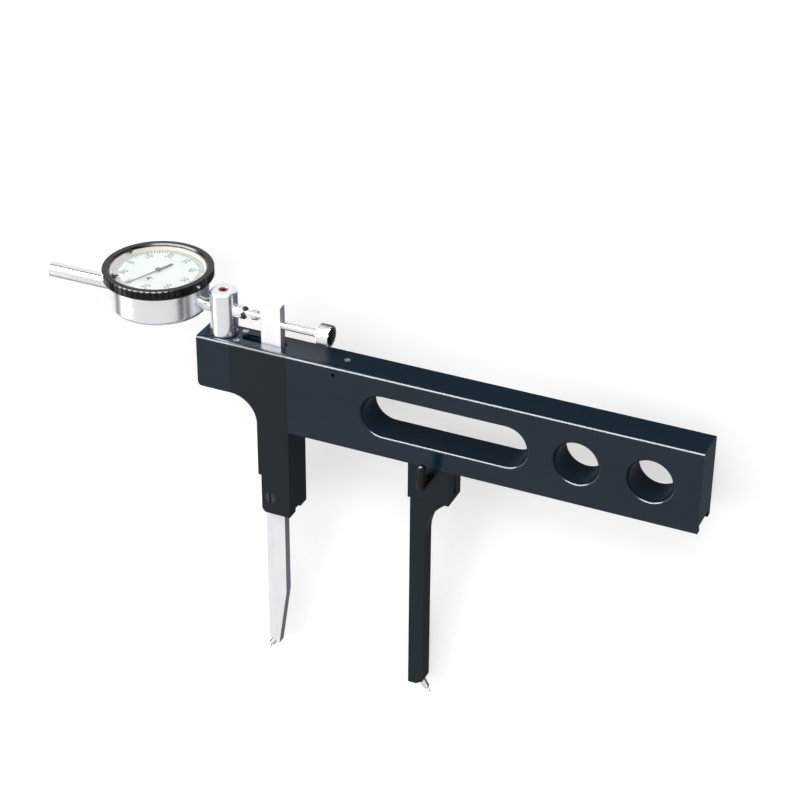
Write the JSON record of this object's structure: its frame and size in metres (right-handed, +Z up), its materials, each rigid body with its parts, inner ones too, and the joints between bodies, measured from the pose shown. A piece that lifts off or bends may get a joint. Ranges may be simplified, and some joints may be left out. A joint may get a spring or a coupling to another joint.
{
  "type": "dial bore gauge",
  "caption": "Hand-held dial gauge for inside diameters: a slotted black beam with a sprung steel measuring lever, a sliding clamped arm and a dial indicator worked by a thumb knob",
  "frame": {"origin": "under the middle of the gauge's box, on the surface that it lies on", "axes": "the gauge lies on its back on the bezel's rim, the foot of the leg and the far end of the beam: +X runs along the beam away from the dial, +Y points from the contacts to the dial side, the way that is up in use, and +Z is up, the way the front face looks"},
  "size_m": [0.3638, 0.2276, 0.0669],
  "materials": {
    "black_anodised": "fine brushed black anodised aluminium",
    "black_gloss": "glossy black lacquer",
    "black_plastic": "glossy black plastic",
    "black_satin": "satin black anodised aluminium",
    "black_steel": "black oxide steel",
    "clear": "clear crystal",
    "dial_paint": "pale green-white dial",
    "ground_steel": "ground tool steel",
    "hand_black": "black lacquered hands",
    "polished_steel": "polished steel",
    "red_lacquer": "red locking lacquer",
    "satin_chrome": "satin chrome plate",
    "zinc_steel": "bright screws"
  },
  "bodies": {
    "base": {"beam": "black_anodised", "front_plate": "black_satin", "leg": "black_satin", "back_screws": "black_steel", "cover_plate": "black_anodised", "cover_screws": "zinc_steel", "pivot_screw": "black_steel", "lever_spring": "zinc_steel", "indicator_post": "satin_chrome", "post_screw": "black_steel", "clamp_set_screw": "red_lacquer", "case": "satin_chrome", "case_back": "satin_chrome", "case_screws": "zinc_steel", "stem": "satin_chrome", "stem_ring": "black_steel", "cap_tube": "polished_steel", "dial_centre": "dial_paint"},
    "lever_body": {"lever": "ground_steel", "lever_contact": "polished_steel", "push_rod": "polished_steel", "knob": "satin_chrome", "knob_inlay": "black_plastic"},
    "plunger_body": {"plunger": "polished_steel", "contact_point": "polished_steel"},
    "bezel_body": {"bezel": "black_gloss", "crystal": "clear", "dial_ring": "dial_paint"},
    "pointer_body": {"pointer": "hand_black"},
    "counter_body": {"counter_hand": "hand_black"},
    "low_marker_body": {"low_limit_marker": "hand_black"},
    "high_marker_body": {"high_limit_marker": "hand_black"},
    "slider_body": {"slider": "black_satin", "arm_contact": "polished_steel"},
    "clamp_body": {"clamp_lever": "black_gloss"}
  },
  "joints": [
    {"name": "lever_swing", "type": "hinge", "parent": "base", "child": "lever_body", "pos_m": [-0.05042, -0.00751, 0.02039], "axis": [0.0315, -0.1323, 0.9907], "range_deg": [0, 1.75], "stiffness_Nm_per_rad": 0.6, "springref_deg": -14.32, "deforming": ["lever_spring"]},
    {"name": "plunger_slide", "type": "slide", "parent": "base", "child": "plunger_body", "axis": [-0.9995, 0, 0.0318], "range_m": [0, 0.0033]},
    {"name": "pointer_turn", "type": "hinge", "parent": "base", "child": "pointer_body", "pos_m": [-0.1168, 0.10727, 0.03782], "axis": [-0.0042, -0.9912, -0.1322], "range_deg": [0, 1170]},
    {"name": "counter_turn", "type": "hinge", "parent": "base", "child": "counter_body", "pos_m": [-0.11689, 0.106, 0.04734], "axis": [0.0042, 0.9912, 0.1322], "range_deg": [0, 117]},
    {"name": "bezel_turn", "type": "hinge", "parent": "base", "child": "bezel_body", "pos_m": [-0.1168, 0.10697, 0.03778], "axis": [0.0042, 0.9912, 0.1322], "continuous": true},
    {"name": "low_marker_turn", "type": "hinge", "parent": "bezel_body", "child": "low_marker_body", "pos_m": [-0.11679, 0.10925, 0.03808], "axis": [0.0042, 0.9912, 0.1322], "range_deg": [-60, 60]},
    {"name": "high_marker_turn", "type": "hinge", "parent": "bezel_body", "child": "high_marker_body", "pos_m": [-0.11679, 0.10925, 0.03808], "axis": [0.0042, 0.9912, 0.1322], "range_deg": [-60, 60]},
    {"name": "slider_slide", "type": "slide", "parent": "base", "child": "slider_body", "axis": [0.9995, 0, -0.0318], "range_m": [-0.066, 0.13]},
    {"name": "clamp_turn", "type": "hinge", "parent": "slider_body", "child": "clamp_body", "pos_m": [0.04075, 0.02755, 0.0367], "axis": [0.0315, -0.1323, 0.9907], "range_deg": [0, 150]}
  ],
  "couplings": [
    {"joint": "plunger_slide", "follows": "lever_swing", "m_per_rad": 0.1032},
    {"joint": "pointer_turn", "follows": "lever_swing", "ratio": 648.42},
    {"joint": "counter_turn", "follows": "lever_swing", "ratio": 64.843}
  ]
}
